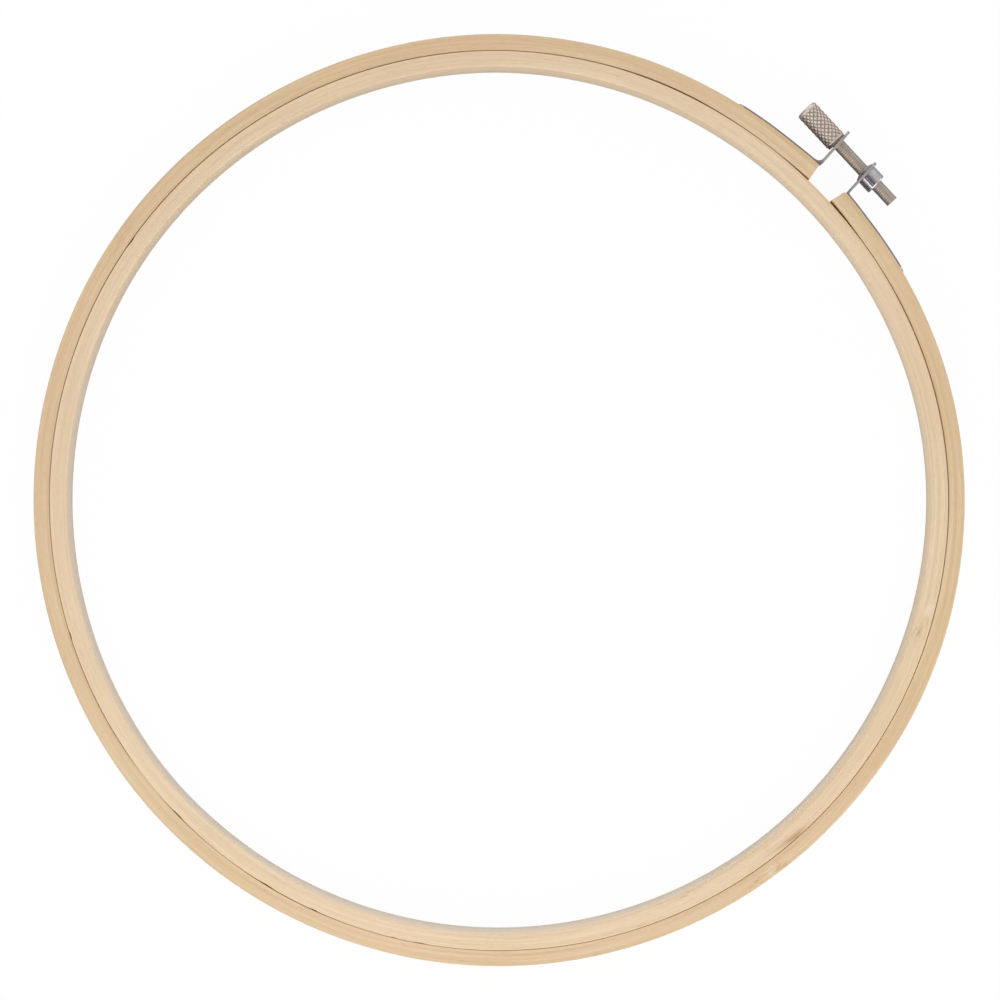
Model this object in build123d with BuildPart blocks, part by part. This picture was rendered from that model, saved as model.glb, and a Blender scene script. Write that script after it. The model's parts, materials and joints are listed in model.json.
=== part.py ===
from build123d import *
import math
import os

os.makedirs("parts", exist_ok=True)

# Embroidery hoop, in millimetres.
# The origin is the centre of both rings at half their height, +Z stands out of the stretched work,
# and the cut in the outer ring faces +Y. The screw lies across the cut, its head towards -X.

# Wooden rings
hoop_diameter = 254.0
ring_height = 10.0
outer_ring_wall = 4.4
inner_ring_wall = 4.25
seam_clearance = 0.3
edge_easing = 0.4

# Cut in the outer ring: how far each wooden end stands from the middle of the cut
head_end_outside = 5.0
head_end_inside = 4.1
nut_end_outside = 5.4
nut_end_inside = 4.5
nut_end_rounding = 1.0

# Sheet-metal brackets: a plate that hugs the outer ring and an ear that stands up beside the cut
bracket_thickness = 0.6
bracket_width = 8.0
plate_end_distance = 32.6
plate_corner_radius = 2.0
plate_clearance = 0.05
ear_corner_radius = 2.0
head_ear_distance = 5.2
head_ear_lean = 2.0
head_ear_rise = 3.8
head_bend_radius = 1.2
nut_ear_distance = 5.9
nut_ear_lean = 3.0
nut_ear_rise = 3.3
nut_bend_radius = 0.4

# Thumb screw: knurled head, short neck, threaded shank with its crest at the shank's radius
screw_offset = 7.75
screw_slant = 1.12
screw_head_radius = 3.05
screw_head_length = 12.3
screw_head_rounding = 0.8
screw_head_chamfer = 0.35
neck_radius = 2.3
neck_length = 0.35
neck_clearance = 0.04
shank_radius = 1.7
shank_reach = 16.3
shank_chamfer = 0.35
screw_hole_clearance = 0.3

# Round nut riveted into the ear: barrel outside, swaged cone on the side of the cut
nut_radius = 3.0
nut_length = 3.7
nut_chamfer = 0.2
rivet_height = 0.9
rivet_tip_radius = 2.2
spigot_radius = 2.4
nut_seat_clearance = 0.02
thread_clearance = 0.1
thread_pitch = 0.6

# Tacks that hold the plates: domed head, straight shank, cone point
tack_count = 2
first_tack_distance = 14.0
tack_spacing = 9.0
tack_head_radius = 1.1
tack_head_height = 0.5
tack_shank_radius = 0.5
tack_length = 3.8
tack_point_length = 0.8
tack_fit_clearance = 0.02

# The cut ring bends open about its back, where it is parted by a hairline slit
opening_turns = 8
flex_slit = 0.12

# Overrun that carries every cut clear through its wall
overrun = 1.0

# Radii from the centre of the hoop outwards
hoop_radius = hoop_diameter / 2
outer_ring_bore_radius = hoop_radius - outer_ring_wall
inner_ring_radius = outer_ring_bore_radius - seam_clearance
work_opening_radius = inner_ring_radius - inner_ring_wall
plate_inner_radius = hoop_radius + plate_clearance
plate_outer_radius = plate_inner_radius + bracket_thickness

# The screw's line: its middle lies over the middle of the cut
head_side = -1
nut_side = 1
up = Vector(0, 0, 1)
screw_middle = Vector(0, hoop_radius + screw_offset, 0)
screw_direction = Vector(1, 0, 0).rotate(Axis.Z, -screw_slant)
screw_outward = Vector(0, 1, 0).rotate(Axis.Z, -screw_slant)
screw_axis = Axis(screw_middle, screw_direction)
screw_plane = Plane(origin=screw_middle, x_dir=screw_direction, z_dir=up)


def circle_crossing(point, direction, radius):
    """Last point where a line meets a circle about the hoop's centre, going along its direction."""
    along = point.dot(direction)
    reach = math.sqrt(along**2 - point.dot(point) + radius**2)
    return point + direction * (reach - along)


def around_ring(distance, side):
    """Outward direction at a distance along the plates' outer face from the middle of the cut."""
    angle = distance / plate_outer_radius
    return Vector(side * math.sin(angle), math.cos(angle), 0)


def arc_about_centre(start, end):
    """Short arc about the hoop's centre between two points of one circle."""
    middle = (start + end).normalized() * start.length
    return ThreePointArc(start, middle, end)


def ear_frame(side, distance, lean):
    """Plane at half an ear's thickness on the screw's line, facing away from the cut, its X along +Z."""
    middle = screw_middle + screw_direction * (side * distance)
    across = Vector(side, 0, 0).rotate(Axis.Z, lean)
    return Plane(origin=middle, x_dir=up, z_dir=across)


def tack_frames(side):
    """Planes on a plate's outer face where its tacks go in, each facing outwards."""
    frames = []
    for number in range(tack_count):
        outward = around_ring(first_tack_distance + number * tack_spacing, side)
        frames.append(Plane(origin=outward * plate_outer_radius, x_dir=up, z_dir=outward))
    return frames


def cut_tack_holes(side):
    """Holes for a side's tacks, cut in the piece that is being built."""
    for frame in tack_frames(side):
        with BuildSketch(frame) as hole:
            Circle(tack_shank_radius + tack_fit_clearance)
        hole_depth = tack_length + tack_fit_clearance
        extrude(hole.sketch, amount=-hole_depth, mode=Mode.SUBTRACT)


head_ear = ear_frame(head_side, head_ear_distance, head_ear_lean)
nut_ear = ear_frame(nut_side, nut_ear_distance, nut_ear_lean)

# Inner ring: a plain closed band
with BuildPart() as inner_ring:
    with BuildSketch():
        Circle(inner_ring_radius)
        Circle(work_opening_radius, mode=Mode.SUBTRACT)
    extrude(amount=ring_height / 2, both=True)
    fillet(inner_ring.edges(), edge_easing)
inner_ring.part.label = "inner_ring"
export_step(inner_ring.part, "parts/inner_ring.step")


def cut_edge(outside, inside, side):
    """Two points beyond the wall on the line of one wooden end, the outer one first."""
    slope = (outside - inside) / outer_ring_wall
    outer_point = (side * (outside + slope * overrun), hoop_radius + overrun)
    inner_point = (side * (inside - slope * overrun), outer_ring_bore_radius - overrun)
    return [outer_point, inner_point]


# Nut's ends along the screw, and the pivot about which the cut ring bends open.
# The pivot lies square below the nut's place at half its travel, so the nut keeps to the screw's line.
nut_tilt = math.radians(nut_ear_lean + screw_slant)
nut_ear_half = bracket_thickness / 2 / math.cos(nut_tilt)
rivet_start = nut_ear_distance - nut_ear_half - rivet_height
nut_end = nut_ear_distance + nut_ear_half + nut_length
opening_travel = thread_pitch * opening_turns
nut_at_half_travel = screw_middle + screw_direction * ((rivet_start + nut_end + opening_travel) / 2)
flex_radius = hoop_radius - outer_ring_wall / 2
flex_pivot = circle_crossing(nut_at_half_travel, -screw_outward, flex_radius)

# Outer ring: cut at +Y with slanting ends, then parted by the hairline slit at its back
with BuildPart() as outer_ring:
    with BuildSketch() as ring_profile:
        Circle(hoop_radius)
        Circle(outer_ring_bore_radius, mode=Mode.SUBTRACT)
        with BuildLine():
            head_edge = cut_edge(head_end_outside, head_end_inside, head_side)
            nut_edge = cut_edge(nut_end_outside, nut_end_inside, nut_side)
            Polyline(head_edge + nut_edge[::-1], close=True)
        make_face(mode=Mode.SUBTRACT)
        nut_corner = (nut_end_outside, hoop_radius)
        fillet(ring_profile.vertices().sort_by_distance(nut_corner)[0], nut_end_rounding)
    extrude(amount=ring_height / 2, both=True)
    fillet(outer_ring.faces().filter_by(Axis.Z).edges(), edge_easing)
    with BuildSketch(Plane(origin=flex_pivot, x_dir=screw_direction, z_dir=up)):
        Rectangle(flex_slit, outer_ring_wall + 2 * overrun)
    extrude(amount=ring_height / 2 + overrun, both=True, mode=Mode.SUBTRACT)
head_wood, nut_wood = outer_ring.solids().sort_by(Axis.X)

# Half of the outer ring that carries the head bracket
with BuildPart() as outer_ring_head_half:
    add(head_wood)
    cut_tack_holes(head_side)
outer_ring_head_half.part.label = "outer_ring_head_half"
export_step(outer_ring_head_half.part, "parts/outer_ring_head_half.step")

# Half of the outer ring that carries the nut bracket
with BuildPart() as outer_ring_nut_half:
    add(nut_wood)
    cut_tack_holes(nut_side)
outer_ring_nut_half.part.label = "outer_ring_nut_half"
export_step(outer_ring_nut_half.part, "parts/outer_ring_nut_half.step")


def make_bracket(side, ear, rise, bend_radius, hole_plane, hole_radius):
    """Strip bent into a plate and an ear, with its screw or nut hole and its tack holes."""
    ear_up = ear.x_dir.cross(ear.z_dir) * side
    cut_face = ear.origin - ear.z_dir * (bracket_thickness / 2)
    far_face = ear.origin + ear.z_dir * (bracket_thickness / 2)
    plate_end = around_ring(plate_end_distance, side)
    corner = circle_crossing(cut_face, ear_up, plate_inner_radius)
    crook = circle_crossing(far_face, ear_up, plate_outer_radius)
    tip = ear.origin + ear_up * rise
    with BuildPart() as bracket:
        with BuildSketch() as profile:
            with BuildLine():
                arc_about_centre(plate_end * plate_inner_radius, corner)
                Polyline(corner, cut_face + ear_up * rise, far_face + ear_up * rise, crook)
                arc_about_centre(crook, plate_end * plate_outer_radius)
                Line(plate_end * plate_outer_radius, plate_end * plate_inner_radius)
            make_face()
            fillet(profile.vertices().sort_by_distance(corner)[0], bend_radius + bracket_thickness)
            fillet(profile.vertices().sort_by_distance(crook)[0], bend_radius)
        extrude(amount=bracket_width / 2, both=True)
        flat_edges = bracket.edges().filter_by(Plane.XY).filter_by(GeomType.LINE)
        plate_corners = flat_edges.sort_by_distance(plate_end * plate_outer_radius)[:2]
        ear_corners = flat_edges.sort_by_distance(tip)[:2]
        fillet(plate_corners, plate_corner_radius)
        fillet(ear_corners, ear_corner_radius)
        with BuildSketch(hole_plane):
            Circle(hole_radius)
        extrude(amount=bracket_thickness, both=True, mode=Mode.SUBTRACT)
        cut_tack_holes(side)
    return bracket.part


screw_hole_plane = Plane(origin=head_ear.origin, x_dir=up, z_dir=screw_direction)
head_bracket = make_bracket(
    head_side, head_ear, head_ear_rise, head_bend_radius,
    screw_hole_plane, shank_radius + screw_hole_clearance,
)
head_bracket.label = "head_bracket"
export_step(head_bracket, "parts/head_bracket.step")

nut_bracket = make_bracket(
    nut_side, nut_ear, nut_ear_rise, nut_bend_radius,
    nut_ear, spigot_radius + nut_seat_clearance,
)
nut_bracket.label = "nut_bracket"
export_step(nut_bracket, "parts/nut_bracket.step")

# Adjusting screw: its neck stops just short of the leaning ear
head_tilt = math.radians(head_ear_lean + screw_slant)
ear_far_face = bracket_thickness / 2 / math.cos(head_tilt) + neck_radius * math.tan(head_tilt)
neck_end = -(head_ear_distance + ear_far_face + neck_clearance)
head_face = neck_end - neck_length
head_start = head_face - screw_head_length
with BuildPart() as adjusting_screw:
    with BuildSketch(screw_plane) as screw_profile:
        with BuildLine():
            Polyline(
                (head_start, 0),
                (head_start, screw_head_radius),
                (head_face, screw_head_radius),
                (head_face, neck_radius),
                (neck_end, neck_radius),
                (neck_end, shank_radius),
                (shank_reach, shank_radius),
                (shank_reach, 0),
                close=True,
            )
        make_face()
        corners = screw_profile.vertices()
        head_top = corners.sort_by_distance((head_start, screw_head_radius))[0]
        head_bottom = corners.sort_by_distance((head_face, screw_head_radius))[0]
        shank_tip = corners.sort_by_distance((shank_reach, shank_radius))[0]
        fillet(head_top, screw_head_rounding)
        chamfer(head_bottom, screw_head_chamfer)
        chamfer(shank_tip, shank_chamfer)
    revolve(axis=screw_axis)
adjusting_screw.part.label = "adjusting_screw"
export_step(adjusting_screw.part, "parts/adjusting_screw.step")

# Captive nut: barrel and swaged cone in one, with a groove that the ear sits in
with BuildPart() as captive_nut:
    with BuildSketch(screw_plane) as nut_profile:
        with BuildLine():
            Polyline(
                (rivet_start, shank_radius + thread_clearance),
                (rivet_start, rivet_tip_radius),
                (rivet_start + rivet_height, nut_radius),
                (nut_end, nut_radius),
                (nut_end, shank_radius + thread_clearance),
                close=True,
            )
        make_face()
        barrel_corner = nut_profile.vertices().sort_by_distance((nut_end, nut_radius))[0]
        chamfer(barrel_corner, nut_chamfer)
    revolve(axis=screw_axis)
    with BuildSketch(nut_ear):
        Circle(nut_radius + overrun)
        Circle(spigot_radius, mode=Mode.SUBTRACT)
    extrude(amount=bracket_thickness / 2 + nut_seat_clearance, both=True, mode=Mode.SUBTRACT)
captive_nut.part.label = "captive_nut"
export_step(captive_nut.part, "parts/captive_nut.step")


def make_tack(frame):
    """One tack, its head on the plate's outer face and its shank in the wood."""
    profile_plane = Plane(origin=frame.origin, x_dir=frame.z_dir.cross(up), z_dir=up)
    with BuildPart() as tack:
        with BuildSketch(profile_plane):
            with BuildLine():
                TangentArc((0, tack_head_height), (tack_head_radius, 0), tangent=(1, 0))
                Polyline(
                    (tack_head_radius, 0),
                    (tack_shank_radius, 0),
                    (tack_shank_radius, tack_point_length - tack_length),
                    (0, -tack_length),
                    (0, tack_head_height),
                )
            make_face()
        revolve(axis=Axis(frame.origin, frame.z_dir))
    return tack.part


for bracket_name, side in (("head_bracket", head_side), ("nut_bracket", nut_side)):
    for number, frame in enumerate(tack_frames(side), start=1):
        tack = make_tack(frame)
        tack.label = f"{bracket_name}_tack_{number}"
        export_step(tack, f"parts/{tack.label}.step")

# Places and ratio that the joints use
lever = (nut_at_half_travel - flex_pivot).length
print("screw middle", screw_middle, "direction", screw_direction)
print("flex pivot", flex_pivot, "lever", round(lever, 3))
print("turn of the screw per turn of the flexing half", 2 * math.pi * lever / thread_pitch)
print("opening travel", opening_travel, "work opening radius", work_opening_radius)
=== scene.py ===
# %% [markdown]
# # A bamboo embroidery hoop
# The hoop clamps cloth between two bamboo rings. The inner one is closed, and the outer one is cut through
# where a thumb screw pulls its two ends together. Two bent strips of sheet steel are tacked to it: one lets
# the screw through, and a round nut is riveted into the other.
#
# The CAD model gives every size, place and motion. This script dresses it: it builds finer pieces where the
# CAD solids stand, hides the solids, and gives each piece a finish made only of nodes.

import json
import math

import bmesh
import bpy
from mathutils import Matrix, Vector


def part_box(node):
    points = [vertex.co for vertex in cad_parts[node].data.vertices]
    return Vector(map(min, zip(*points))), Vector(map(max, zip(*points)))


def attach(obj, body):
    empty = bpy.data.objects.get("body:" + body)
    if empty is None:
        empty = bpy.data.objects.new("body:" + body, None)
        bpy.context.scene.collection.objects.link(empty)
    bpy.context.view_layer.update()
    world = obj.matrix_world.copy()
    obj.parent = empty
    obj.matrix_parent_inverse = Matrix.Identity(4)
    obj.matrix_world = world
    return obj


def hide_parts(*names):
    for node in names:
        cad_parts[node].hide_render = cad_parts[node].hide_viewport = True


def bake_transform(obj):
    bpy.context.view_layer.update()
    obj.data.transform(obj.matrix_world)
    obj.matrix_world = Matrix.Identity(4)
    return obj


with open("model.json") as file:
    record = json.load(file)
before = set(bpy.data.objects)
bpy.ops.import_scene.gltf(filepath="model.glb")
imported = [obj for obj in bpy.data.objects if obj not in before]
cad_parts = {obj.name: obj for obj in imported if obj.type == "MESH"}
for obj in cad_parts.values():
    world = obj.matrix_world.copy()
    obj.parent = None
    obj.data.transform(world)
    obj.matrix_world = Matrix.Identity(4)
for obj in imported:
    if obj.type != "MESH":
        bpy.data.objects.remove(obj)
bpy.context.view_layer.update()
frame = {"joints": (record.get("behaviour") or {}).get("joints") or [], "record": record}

# %% [markdown]
# ## Sizes
# Whatever the frame can tell is read from it: the rings' radii and height from the boxes of their solids,
# the bore from the record's mount, and the line of the screw from its joint. The other sizes are the real
# pieces', in millimetres times `MM`, because the scene is in metres.

# %% Sizes of the rings
MM = 0.001
joints = {joint["name"]: joint for joint in frame["joints"]}
mounts = {mount["name"]: mount for mount in frame["record"]["mounts"]}

hoop_radius = -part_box("outer_ring_head_half")[0].x
ring_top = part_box("inner_ring")[1].z
inner_ring_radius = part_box("inner_ring")[1].x
work_opening_radius = mounts["work_opening"]["dims"]["r_mm"] * MM
outer_ring_wall = 4.4 * MM
outer_ring_bore = hoop_radius - outer_ring_wall
edge_easing = 0.4 * MM
middle_radius = (hoop_radius + outer_ring_bore) / 2
print("rings: outside", hoop_radius, "seam", inner_ring_radius, "opening", work_opening_radius)

# %% Line of the screw
UP = Vector((0, 0, 1))
screw_middle = Vector(joints["screw_turn"]["pos_m"])
screw_line = -Vector(joints["screw_turn"]["axis"]).normalized()
screw_outward = UP.cross(screw_line)
print("screw from", screw_middle[:], "along", screw_line[:])

# %% [markdown]
# ## Camera
# The photograph looks straight down on the hoop, with the screw up and to the right, so the camera stands
# on the rings' axis and is turned about it. How much of the inner wall shows gave its distance, and the
# hoop's width in the picture then gave its lens.

# %% Camera
camera_place = Vector((0.26, 0.28, 672.0)) * MM
camera_turn = math.radians(45.94)
camera_lens = 88.2

camera = bpy.data.objects.new("photo_camera", bpy.data.cameras.new("photo_camera"))
camera.data.lens = camera_lens
camera.data.clip_start = 0.01
camera.location = camera_place
camera.rotation_euler = (0, 0, camera_turn)
bpy.context.scene.collection.objects.link(camera)
bpy.context.scene.camera = camera
bpy.context.scene.view_settings.view_transform = "Standard"
print("camera at", camera.location[:], "turned", round(math.degrees(camera_turn), 2), "degrees")

# %% [markdown]
# ## A small language for shaders
# A finish is a sum of many simple signals: streaks, bands, spots, dirt. As single nodes, such sums are hard
# to read. So one class wraps an output socket and overloads the operators: `1 - mask * 0.3` adds the Math
# nodes by itself. Colours and vectors keep their own nodes, because a Math node would turn them grey. All
# nodes but a tree's last come from the method `node`.

# %% Signals
def both_sides(operation):
    """The two methods of a sign: for a signal before it, and for one after it."""
    return (
        lambda signal, other: signal.math(operation, signal, other),
        lambda signal, other: signal.math(operation, other, signal),
    )


class Signal:
    """An output socket of a node tree that can be used in sums."""

    def __init__(self, tree, socket=None):
        self.tree = tree
        self.socket = socket

    def node(self, kind, settings=None, inputs=None, output=0):
        """Any node: its type, settings, inputs (values or signals), and which output to give back."""
        made = self.tree.nodes.new("ShaderNode" + kind)
        for name, value in (settings or {}).items():
            setattr(made, name, value)
        for key, value in (inputs or {}).items():
            if isinstance(value, Signal):
                self.tree.links.new(value.socket, made.inputs[key])
            else:
                made.inputs[key].default_value = value
        return Signal(self.tree, made.outputs[output])

    def math(self, operation, *values):
        return self.node("Math", {"operation": operation}, dict(enumerate(values)))

    __add__, __radd__ = both_sides("ADD")
    __sub__, __rsub__ = both_sides("SUBTRACT")
    __mul__, __rmul__ = both_sides("MULTIPLY")
    __truediv__, __rtruediv__ = both_sides("DIVIDE")
    __pow__, __rpow__ = both_sides("POWER")

    def __neg__(self):
        return 0 - self

    def __abs__(self):
        return self.math("ABSOLUTE", self)

    def step(self, low, high):
        """0 below low, 1 above high, with a smooth rise between."""
        ends = {"Value": self, "From Min": low, "From Max": high}
        return self.node("MapRange", {"interpolation_type": "SMOOTHSTEP"}, ends)

    def near(self, width):
        """1 where this distance is well within width, and near 0 outside it."""
        return 1 / (1 + abs(self / width) ** 4)

    def parts(self):
        """The three parts of a vector."""
        return [self.node("SeparateXYZ", None, {0: self}, part) for part in range(3)]

    def tint(self, under, over):
        """Colour under, covered by colour over as far as this mask says."""
        return self.node("Mix", {"data_type": "RGBA"}, {0: self, 6: under, 7: over}, 2)

    def noise(self, vector, depth=0.0, detail=2.0, roughness=0.5):
        """Noise in four dimensions, with one bump to a unit."""
        values = {"Vector": vector, "W": depth, "Scale": 1.0, "Detail": detail, "Roughness": roughness}
        return self.node("TexNoise", {"noise_dimensions": "4D"}, values)

    def vector(self, *parts):
        """A vector from three numbers or signals."""
        return self.node("CombineXYZ", None, dict(enumerate(parts)))

    def scaled(self, factor):
        """This vector or colour times a factor."""
        return self.node("VectorMath", {"operation": "SCALE"}, {"Vector": self, "Scale": factor})

    def stored(self, name):
        """The three parts of a vector that is stored on the mesh."""
        return self.node("Attribute", {"attribute_name": name}, None, "Vector").parts()


# %% Colours
WHITE = (1, 1, 1, 1)


def paint(red, green, blue):
    """A colour as a screen shows it, from 0 to 255, turned by the sRGB curve into linear light."""
    shares = [channel / 255 for channel in (red, green, blue)]
    linear = [share / 12.92 if share < 0.04045 else ((share + 0.055) / 1.055) ** 2.4 for share in shares]
    return (*linear, 1.0)


print("middle grey is", round(paint(128, 128, 128)[0], 3), "of white's light")


# %% Finishes
def finish_named(name):
    """An empty material and a signal to write its nodes with."""
    material = bpy.data.materials.new(name)
    material.use_nodes = True
    material.node_tree.nodes.clear()
    return material, Signal(material.node_tree)


def show(signal, kind, shader):
    """Joins a shader to the output node of a material or a world."""
    out = signal.tree.nodes.new("ShaderNodeOutput" + kind)
    signal.tree.links.new(shader.socket, out.inputs["Surface"])


def surface(material, signal, height, bump_depth, sockets):
    """Ends a finish: one shader with the given sockets, and a bump of that depth."""
    normal = signal.node("Bump", None, {"Height": height, "Distance": bump_depth, "Strength": 1.0})
    shader = signal.node("BsdfPrincipled", None, {**sockets, "Normal": normal})
    show(signal, "Material", shader)
    print(material.name, "has", len(signal.tree.nodes), "nodes")


# %% [markdown]
# ## Light and floor
# A catalogue picture like this is lit by soft boxes, with pale walls all round and darkness round the
# camera. Here a strong soft box stands below the picture and a weak one on its left. Turned metal mirrors
# all that is round it. The round nut lies along X, so it mirrors only what stands in the plane across it,
# and the soft boxes keep clear of that plane. It is dark overhead and grey on the far side, and one narrow
# white card on the near side makes the nut's dark and white stripes. Low windows on both sides of the far
# wall light the hoop's inner wall. Together they light a level surface so that it renders in the colour
# that is written for it.
#
# The floor shows as white to the camera and keeps a little of the hoop's shadow, but metal mirrors it as a
# grey table, which is what the photograph's metal shows along its lower edges.

# %% Two soft boxes
softbox_distance = 1.0
softbox_lean = math.radians(42)
softbox_side = 1.0
softbox_swing = 60.0
strong_power = 5.4
weak_power = 1.9


def soft_box(name, swing, power):
    """A square lamp that leans from overhead towards -Y, swung aside from there by an angle in degrees."""
    aside = math.radians(swing)
    level = Vector((math.sin(aside), -math.cos(aside), 0)) * math.sin(softbox_lean)
    direction = level + Vector((0, 0, math.cos(softbox_lean)))
    lamp = bpy.data.objects.new(name, bpy.data.lights.new(name, "AREA"))
    lamp.data.shape = "SQUARE"
    lamp.data.size = softbox_side
    lamp.data.energy = power
    lamp.location = direction * softbox_distance
    lamp.rotation_euler = direction.to_track_quat("Z", "Y").to_euler()
    bpy.context.scene.collection.objects.link(lamp)
    print(name, "at", [round(c, 3) for c in lamp.location])


soft_box("soft_box_right", softbox_swing, strong_power)
soft_box("soft_box_left", -softbox_swing, weak_power)

# %% The room
world = bpy.data.worlds.new("pale_room")
world.use_nodes = True
world.node_tree.nodes.clear()
bpy.context.scene.world = world
room = Signal(world.node_tree)
overhead_light = 0.10
far_wall_light = 0.74
near_side_light = 0.28
far_side_light = 1.15
window_light = 1.05
card_light = 2.1
card_height = 0.35
card_reach = 0.16

# Where each part of the room fades in, as parts of the direction of view
far_wall_fade = (-0.5, 0.75)
far_side_fade = (-0.4, 0.6)
card_fade = (0.3, 0.6)
aside_fade = (0.35, 0.75)
window_fade = (0.08, 0.30)
window_top_fade = (0.30, 0.50)

across, far, upward = room.node("TexCoord", output="Generated").parts()
far_wall = far.step(*far_wall_fade) * (far_wall_light - overhead_light) + overhead_light
card = (upward - card_height).near(card_reach) * (-far).step(*card_fade) * card_light
far_side = far.step(*far_side_fade)
side_walls = far_side * (far_side_light - near_side_light) + near_side_light
aside = abs(across).step(*aside_fade)
windows = abs(across).step(*window_fade) * far_side * (1 - upward.step(*window_top_fade)) * window_light
strength = (far_wall + card) * (1 - aside) + side_walls * aside + windows
seen = room.node("LightPath", output="Is Camera Ray")
lit = room.node("Background", None, {"Color": WHITE, "Strength": strength})
white = room.node("Background", None, {"Color": WHITE, "Strength": 1.0})
show(room, "World", room.node("MixShader", None, {0: seen, 1: lit, 2: white}))
print("room nodes", len(world.node_tree.nodes))

# %% The floor
floor_reach = 3.0
floor_white = (0.92, 0.92, 0.92, 1)
floor_grey = (0.55, 0.55, 0.56, 1)
floor_shadow = 0.035

floor_finish, ground = finish_named("white_floor")
by_glossy = ground.node("LightPath", output="Is Glossy Ray")
by_camera = ground.node("LightPath", output="Is Camera Ray")
bare = by_camera + ground.node("LightPath", output="Is Transmission Ray")
matt = ground.node("BsdfDiffuse", None, {"Color": by_glossy.tint(floor_white, floor_grey)})
paper = ground.node("Emission", None, {"Color": WHITE, "Strength": 1.0})
show(ground, "Material", ground.node("MixShader", None, {0: bare * (1 - floor_shadow), 1: matt, 2: paper}))


def mesh_object(name, points, faces, finish):
    """An object from points and faces, its faces turned outwards and shaded smooth."""
    mesh = bpy.data.meshes.new(name)
    mesh.from_pydata(points, [], faces)
    shape = bmesh.new()
    shape.from_mesh(mesh)
    bmesh.ops.recalc_face_normals(shape, faces=shape.faces)
    shape.to_mesh(mesh)
    shape.free()
    mesh.shade_smooth()
    mesh.materials.append(finish)
    made = bpy.data.objects.new(name, mesh)
    bpy.context.scene.collection.objects.link(made)
    return made


signs = [(-1, -1), (1, -1), (1, 1), (-1, 1)]
corners = [(x * floor_reach, y * floor_reach, -ring_top) for x, y in signs]
floor = mesh_object("floor", corners, [(0, 1, 2, 3)], floor_finish)
print("floor", floor.dimensions[:])

# %% [markdown]
# ## Shapes from rings of points
# Every piece of this hoop is a section carried along a line: the wood along a circle, the sheet strips
# along a bend, the screw and the nut along their axis. So one function joins rings of points, each with as
# many points as the last, into a closed skin. Each ring can be eased, tilted or dented on its own.

# %% A skin through rings of points
def skin(name, rings, finish, closed=False):
    """A mesh through rings of points, closed from the last to the first or else capped at both ends."""
    count = len(rings[0])
    points = [point for ring in rings for point in ring]
    spans = len(rings) if closed else len(rings) - 1
    faces = []
    for span in range(spans):
        near_start = span * count
        far_start = (span + 1) % len(rings) * count
        for place in range(count):
            after = (place + 1) % count
            faces.append((near_start + place, near_start + after, far_start + after, far_start + place))
    if not closed:
        faces.append(tuple(range(count))[::-1])
        faces.append(tuple(range(len(points) - count, len(points))))
    return mesh_object(name, points, faces, finish)


def keep(piece, name, values):
    """Stores one vector for each point of a piece, for its finish to read."""
    attribute = piece.data.attributes.new(name, "FLOAT_VECTOR", "POINT")
    attribute.data.foreach_set("vector", [part for value in values for part in value])


# %% Eased section of a wooden band
easing_steps = 3
guard = 0.04 * MM


def eased_section(inside, outside, bottom, top, easings):
    """Points round a rectangle with rounded corners, from the outer top by the inner top and bottom.

    A guard point beside each corner keeps the flats flat when shaded smooth.
    """
    tops = [(outside, top, -1, -1), (inside, top, 1, -1)]
    corners = [*tops, (inside, bottom, 1, 1), (outside, bottom, -1, 1)]
    points = []
    for quarter, ((edge, level, inward, upward), easing) in enumerate(zip(corners, easings)):
        radius = edge + inward * easing
        height = level + upward * easing
        turns = [math.pi / 2 * (quarter + step / easing_steps) for step in range(easing_steps + 1)]
        arc = [(radius + easing * math.cos(turn), height + easing * math.sin(turn)) for turn in turns]
        start = turns[0]
        end = turns[-1]
        before = (arc[0][0] + guard * math.sin(start), arc[0][1] - guard * math.cos(start))
        after = (arc[-1][0] - guard * math.sin(end), arc[-1][1] + guard * math.cos(end))
        points += [before, *arc, after]
    return points


def swell(angle, middle, reach):
    """A smooth rise from 0 to 1 and back about an angle in degrees, which ends reach degrees away."""
    away = abs((angle - middle + 180) % 360 - 180)
    return 0.5 + 0.5 * math.cos(math.pi * away / reach) if away < reach else 0.0


print("section points", len(eased_section(0, 1, 0, 1, [0.1] * 4)))

# %% [markdown]
# ## Bamboo
# Bamboo is a bundle of straight hard fibres in a softer pale ground. Bent round a ring, the fibres run
# along it, so the finish is written in the strip's own directions: how far round, how far across the wall,
# how high. Noise that is stretched a hundredfold along the strip gives the fibres, wider noise gives the
# honey-coloured bands, and short stretched spots give the dark ends of cut fibre bundles. The round
# direction enters as cosine and sine, so nothing breaks where the circle closes. The places are stored on
# the mesh, so the grain stays put when the ring flexes.

# %% Grain that runs round the hoop
def grain(signal, across_width, round_length, seed, detail=2.0):
    """Noise whose streaks are as wide and as long as asked."""
    around = signal.stored("around")
    strip = signal.stored("strip")
    turns = middle_radius / round_length
    across = strip[0] * (1 / across_width) + seed
    height = strip[1] * (1 / across_width) + seed
    return signal.noise(signal.vector(around[0] * turns, around[1] * turns, across), height, detail)


def round_distance(signal, angle, low=0.5, high=0.9):
    """Distance along the ring from an angle in degrees, and a mask that is 0 on the hoop's far side."""
    around = signal.stored("around")
    cosine = math.cos(math.radians(angle))
    sine = math.sin(math.radians(angle))
    distance = (around[1] * cosine - around[0] * sine) * middle_radius
    return distance, (around[0] * cosine + around[1] * sine).step(low, high)


# %% Ragged spots
ragged_edge = (0.35 * MM, 3 * MM, 43.0)
mark_depth = 1.5 * MM


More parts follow.
